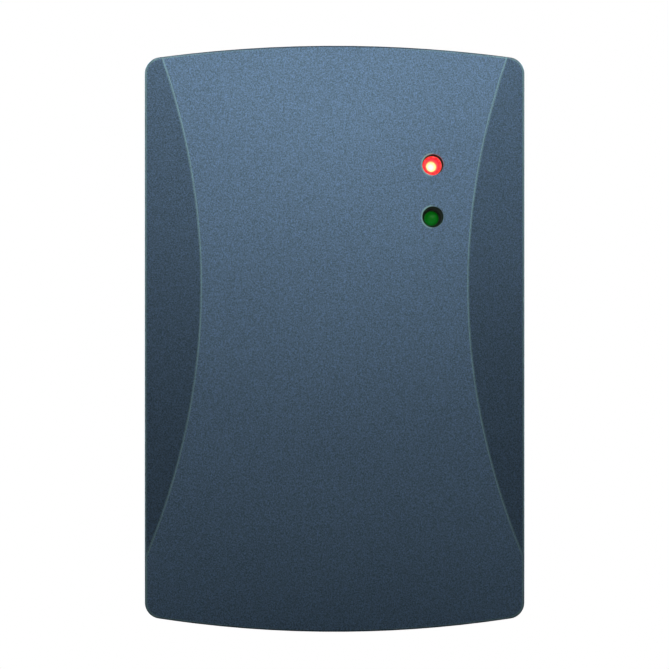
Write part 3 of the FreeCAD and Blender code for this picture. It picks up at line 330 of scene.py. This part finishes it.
def glazed(name, color, second, roughness=0.22):
    """Fired ceramic or glossy moulding: speckled body under a clear glaze."""
    material, tree, shader = new_material(name)
    place = position(tree)
    specks = noise(tree, place, 0.15 * MM, detail=3.0)
    ripple = noise(tree, place, 1.5 * MM)
    feed(tree, shader.inputs["Base Color"], blend(tree, ramp(tree, specks, 0.35, 0.65), color, second))
    feed(tree, shader.inputs["Roughness"], spread(tree, ripple, roughness, roughness + 0.12))
    feed(tree, shader.inputs["Coat Weight"], 0.4)
    feed(tree, shader.inputs["Normal"], bump(tree, ripple, 0.02 * MM))
    return material


def die_reach(tree, node, shift_x, shift_z, blur):
    """How far a point lies from a lamp's die, which is off the lamp's axis, in metres."""
    low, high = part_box(node)
    centre = (low + high) / 2
    die = Vector((centre.x + shift_x, low.y, centre.z + shift_z))
    place = position(tree)
    wobble = noise(tree, place, 0.5 * MM)
    reach = distance_from(tree, place, die)
    return combine(tree, "ADD", reach, combine(tree, "MULTIPLY", wobble, blur)), wobble


def lit_lens(name, node):
    """A lit red lamp: a white-hot die low at the left, a pink-red field and a pure red rim."""
    material, tree, shader = new_material(name)
    reach, wobble = die_reach(tree, node, -0.35 * MM, -0.42 * MM, 0.2 * MM)
    halo = tree.nodes.new("ShaderNodeValToRGB")
    feed(tree, halo.inputs["Fac"], ramp(tree, reach, 0.2 * MM, 2.8 * MM))
    ring_colors = {
        0.34: (1.0, 0.86, 0.30),
        0.46: (1.0, 0.10, 0.09),
        0.70: (1.0, 0.03, 0.07),
        0.84: (1.0, 0.0, 0.01),
    }
    for share, color in ring_colors.items():
        halo.color_ramp.elements.new(share).color = (*color, 1.0)
    halo.color_ramp.elements[0].color = (1.0, 1.0, 0.80, 1.0)
    halo.color_ramp.elements[-1].color = (1.0, 0.0, 0.0, 1.0)
    feed(tree, shader.inputs["Base Color"], (0.5, 0.01, 0.01))
    feed(tree, shader.inputs["Emission Color"], halo.outputs["Color"])
    feed(tree, shader.inputs["Emission Strength"], ramp(tree, reach, 0.4 * MM, 1.4 * MM, 1.6, 1.0))
    feed(tree, shader.inputs["Roughness"], spread(tree, wobble, 0.12, 0.2))
    return material


def unlit_lens(name, node):
    """An unlit green lamp: clear green epoxy with a painted glow over its middle, an emission that
    stands in for light passed on from around it.
    """
    material, tree, shader = new_material(name)
    reach, swirl = die_reach(tree, node, -0.2 * MM, -0.1 * MM, 0.5 * MM)
    body = blend(tree, ramp(tree, reach, 0.8 * MM, 1.9 * MM), (0.006, 0.20, 0.012), (0.002, 0.10, 0.006))
    # Painted glow: emission over the lens's middle in place of light passed on through the unlit epoxy.
    painted_glow = blend(tree, ramp(tree, swirl, 0.55, 0.75), (0.001, 0.095, 0.002), (0.01, 0.2, 0.03))
    feed(tree, shader.inputs["Base Color"], body)
    feed(tree, shader.inputs["Emission Color"], painted_glow)
    feed(tree, shader.inputs["Emission Strength"], ramp(tree, reach, 1.9 * MM, 2.3 * MM, 0.8, 0.0))
    feed(tree, shader.inputs["Roughness"], spread(tree, swirl, 0.3, 0.42))
    return material


def plastics():
    """The moulded pieces, by material slot."""
    return {
        "cover_plastic": moulded("cover_plastic", (0.30, 0.495, 0.735), 0.36, metallic=0.7,
                                 sparkle=0.34, depth=0.03 * MM, clouding=0.01, ridge_painted_highlight=0.9),
        "plate_plastic": moulded("plate_plastic", (0.030, 0.034, 0.038), 0.55),
        "back_plastic": moulded("back_plastic", (0.022, 0.025, 0.028), 0.5),
        "former_plastic": moulded("former_plastic", (0.014, 0.014, 0.016), 0.42),
        "spacer_nylon": moulded("spacer_nylon", (0.62, 0.61, 0.56), 0.5, wear_and_highlight=0.1),
        "buzzer_plastic": moulded("buzzer_plastic", (0.008, 0.008, 0.009), 0.34),
        "chip_epoxy": moulded("chip_epoxy", (0.010, 0.010, 0.011), 0.5, grain=0.12 * MM),
        "header_plastic": moulded("header_plastic", (0.02, 0.16, 0.07), 0.36),
        "gasket_rubber": rubber("gasket_rubber", (0.012, 0.012, 0.012)),
        "grommet_rubber": rubber("grommet_rubber", (0.016, 0.016, 0.016)),
        "label_film": label_film("label_film"),
        "board_laminate": board_laminate("board_laminate"),
        "red_lens": lit_lens("red_lens", "red_led"),
        "green_lens": unlit_lens("green_lens", "green_led"),
    }


def metals():
    """The metal pieces, by material slot; turned ones are marked around, drawn ones along."""
    turned = (1.0, 1.0, 6.0)
    across = (6.0, 1.0, 1.0)
    drawn = (1.0, 6.0, 1.0)
    steel = (0.52, 0.52, 0.54)
    can = (0.66, 0.67, 0.68)
    return {
        "insert_brass": metal("insert_brass", (0.60, 0.40, 0.13), 0.3, (0.34, 0.22, 0.08), turned),
        "screw_steel": metal("screw_steel", steel, 0.28, (0.34, 0.34, 0.33), turned),
        "tinned_metal": metal("tinned_metal", (0.62, 0.62, 0.60), 0.3, (0.42, 0.41, 0.38)),
        "crystal_steel": metal("crystal_steel", (0.64, 0.64, 0.65), 0.22, (0.5, 0.5, 0.48), across),
        "capacitor_can": metal("capacitor_can", can, 0.26, (0.5, 0.5, 0.5), drawn),
        "coil_copper": enamelled_copper("coil_copper"),
    }


def ceramics():
    """The small parts of the board that are glazed or coated, by material slot."""
    return {
        "trimmer_body": glazed("trimmer_body", (0.50, 0.38, 0.16), (0.60, 0.48, 0.24)),
        "fuse_body": glazed("fuse_body", (0.02, 0.09, 0.03), (0.04, 0.14, 0.05), 0.4),
        "resistor_body": glazed("resistor_body", (0.008, 0.008, 0.010), (0.03, 0.03, 0.035)),
        "ceramic_body": glazed("ceramic_body", (0.28, 0.17, 0.09), (0.36, 0.23, 0.13), 0.35),
    }


def dress_nodes():
    """Give every CAD node the material of its slot."""
    finishes = {**plastics(), **metals(), **ceramics()}
    for part in frame["record"]["subparts"]:
        mesh = nodes[part["node"]].data
        mesh.materials.clear()
        mesh.materials.append(finishes[part["material_slot"]])


# ---------------------------------------------------------------- floor, light and camera

def seen_white(tree, output, plain, glow):
    """Pure white where the camera looks straight at it, and the plain shader for all other light."""
    feed(tree, glow.inputs["Color"], WHITE)
    path = tree.nodes.new("ShaderNodeLightPath")
    mix = tree.nodes.new("ShaderNodeMixShader")
    feed(tree, mix.inputs["Fac"], path.outputs["Is Camera Ray"])
    feed(tree, mix.inputs[1], plain.outputs[0])
    feed(tree, mix.inputs[2], glow.outputs[0])
    feed(tree, output.inputs["Surface"], mix.outputs["Shader"])


def make_floor(reach=3.0, reflected=(0.10, 0.10, 0.10)):
    """A plain pale floor at the reader's lowest point."""
    mesh = bpy.data.meshes.new("floor")
    corners = [(-reach, -reach, 0), (reach, -reach, 0), (reach, reach, 0), (-reach, reach, 0)]
    mesh.from_pydata(corners, [], [range(len(corners))])
    floor = bpy.data.objects.new("floor", mesh)
    floor.location.z = low_corner.z
    bpy.context.scene.collection.objects.link(floor)
    material = bpy.data.materials.new("floor")
    material.use_nodes = True
    tree = material.node_tree
    tree.nodes.clear()
    output = tree.nodes.new("ShaderNodeOutputMaterial")
    plain = tree.nodes.new("ShaderNodeBsdfDiffuse")
    feed(tree, plain.inputs["Color"], reflected)
    seen_white(tree, output, plain, tree.nodes.new("ShaderNodeEmission"))
    mesh.materials.append(material)


def make_world(strength=0.004):
    """A white backdrop that lights the reader only faintly."""
    world = bpy.data.worlds.new("studio")
    world.use_nodes = True
    tree = world.node_tree
    tree.nodes.clear()
    output = tree.nodes.new("ShaderNodeOutputWorld")
    plain = tree.nodes.new("ShaderNodeBackground")
    feed(tree, plain.inputs["Color"], WHITE)
    plain.inputs["Strength"].default_value = strength
    seen_white(tree, output, plain, tree.nodes.new("ShaderNodeBackground"))
    bpy.context.scene.world = world


def hang(lamp, spot, target):
    """Put a lamp at a spot, turned to a target and hidden from the camera."""
    lamp.location = spot
    lamp.rotation_euler = (target - Vector(spot)).to_track_quat("-Z", "Y").to_euler()
    lamp.visible_camera = False
    bpy.context.scene.collection.objects.link(lamp)


def area_light(name, spot, width, height, power):
    """A soft box at a spot, facing the middle of the reader."""
    light = bpy.data.lights.new(name, "AREA")
    light.shape = "RECTANGLE"
    light.size = width
    light.size_y = height
    light.energy = power
    hang(bpy.data.objects.new(name, light), spot, middle)


def spot_light(name, spot, aim_x, spread_degrees, power):
    """A soft-edged cone of light on the reader's top edge, aim_x off its middle."""
    light = bpy.data.lights.new(name, "SPOT")
    light.spot_size = math.radians(spread_degrees)
    light.spot_blend = 1.0
    light.shadow_soft_size = 0.03
    light.energy = power
    target = top_edge + Vector((aim_x, 0.0, 0.0))
    hang(bpy.data.objects.new(name, light), spot, target)


def make_lights():
    """Cones on the top edge and weaker boxes in front, so that the face darkens downwards."""
    area_light("low_light", (0.0, -1.2, -0.084), 0.12, 0.12, 0.54)
    for side in SIDES:
        spot_light(f"high_cone_{side}", (side * 0.03, -1.2, 0.30), side * 0.025, 7.0, 0.75)
        spot_light(f"level_cone_{side}", (side * 0.03, -1.2, 0.06), side * 0.025, 7.0, 0.24)
        spot_light(f"flank_cone_{side}", (side * 0.41, -1.128, 0.072), side * 0.029, 7.0, 0.28)
        spot_light(f"wide_cone_{side}", (side * 0.636, -1.018, 0.072), side * 0.045, 9.0, 0.22)
        area_light(f"top_light_{side}", (side * 0.08, -0.14, 0.13), 0.04, 0.04, 0.037)
        area_light(f"side_light_{side}", (side * 0.5, 0.0, 0.1), 0.2, 0.3, 0.27)
        area_light(f"back_light_{side}", (side * 0.5, 0.7, 0.4), 0.4, 0.4, 3.0)


def make_camera():
    """A long lens straight in front, framed a little above the reader's middle."""
    camera_data = bpy.data.cameras.new("camera")
    camera_data.sensor_width = 36.0
    camera_data.lens = 500.0
    camera_data.clip_start = 0.05
    camera_data.clip_end = 20.0
    camera = bpy.data.objects.new("camera", camera_data)
    frame_width = size.x * 1.7597
    distance = frame_width * camera_data.lens / camera_data.sensor_width
    camera.location = (middle.x - 0.02 * MM, front - distance, middle.z + 0.88 * MM)
    camera.rotation_euler = (math.pi / 2, 0.0, 0.0)
    bpy.context.scene.collection.objects.link(camera)
    bpy.context.scene.camera = camera


dress_nodes()
make_floor()
make_world()
make_lights()
make_camera()
bpy.context.scene.view_settings.view_transform = "Standard"
